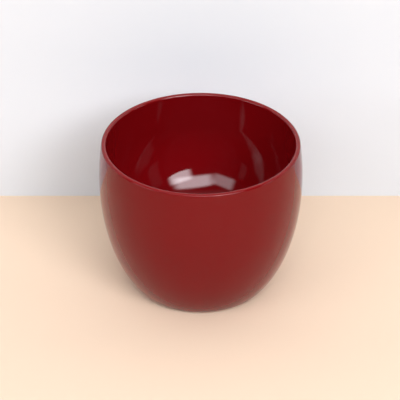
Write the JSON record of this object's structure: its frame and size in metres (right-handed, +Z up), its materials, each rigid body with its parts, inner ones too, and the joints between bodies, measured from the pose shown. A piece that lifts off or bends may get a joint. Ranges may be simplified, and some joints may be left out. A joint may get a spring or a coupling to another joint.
{
  "type": "lacquer sake cup",
  "caption": "Small round sake cup of turned wood in glossy red lacquer, with a barrel-shaped wall, a thin rounded lip, a deep round bowl and a flush foot ring.",
  "frame": {"origin": "on the table, at the centre of the foot ring", "axes": "+Z up along the cup's axis of turning, towards the mouth; +X and +Y are any two square directions, because the cup is round"},
  "size_m": [0.06, 0.06, 0.048],
  "materials": {
    "red_lacquer": "deep red lacquer, polished to a mirror gloss",
    "ground_lacquer": "dark undercoat of raw lacquer and fine earth, stoned flat and matte",
    "wood": "turned hardwood, fine scraped surface, hidden under the lacquer"
  },
  "bodies": {
    "root": {"wood_core": "wood", "undercoat_outside": "ground_lacquer", "undercoat_inside": "ground_lacquer", "top_coat_outside": "red_lacquer", "top_coat_inside": "red_lacquer", "foot_coat": "red_lacquer"}
  },
  "joints": []
}
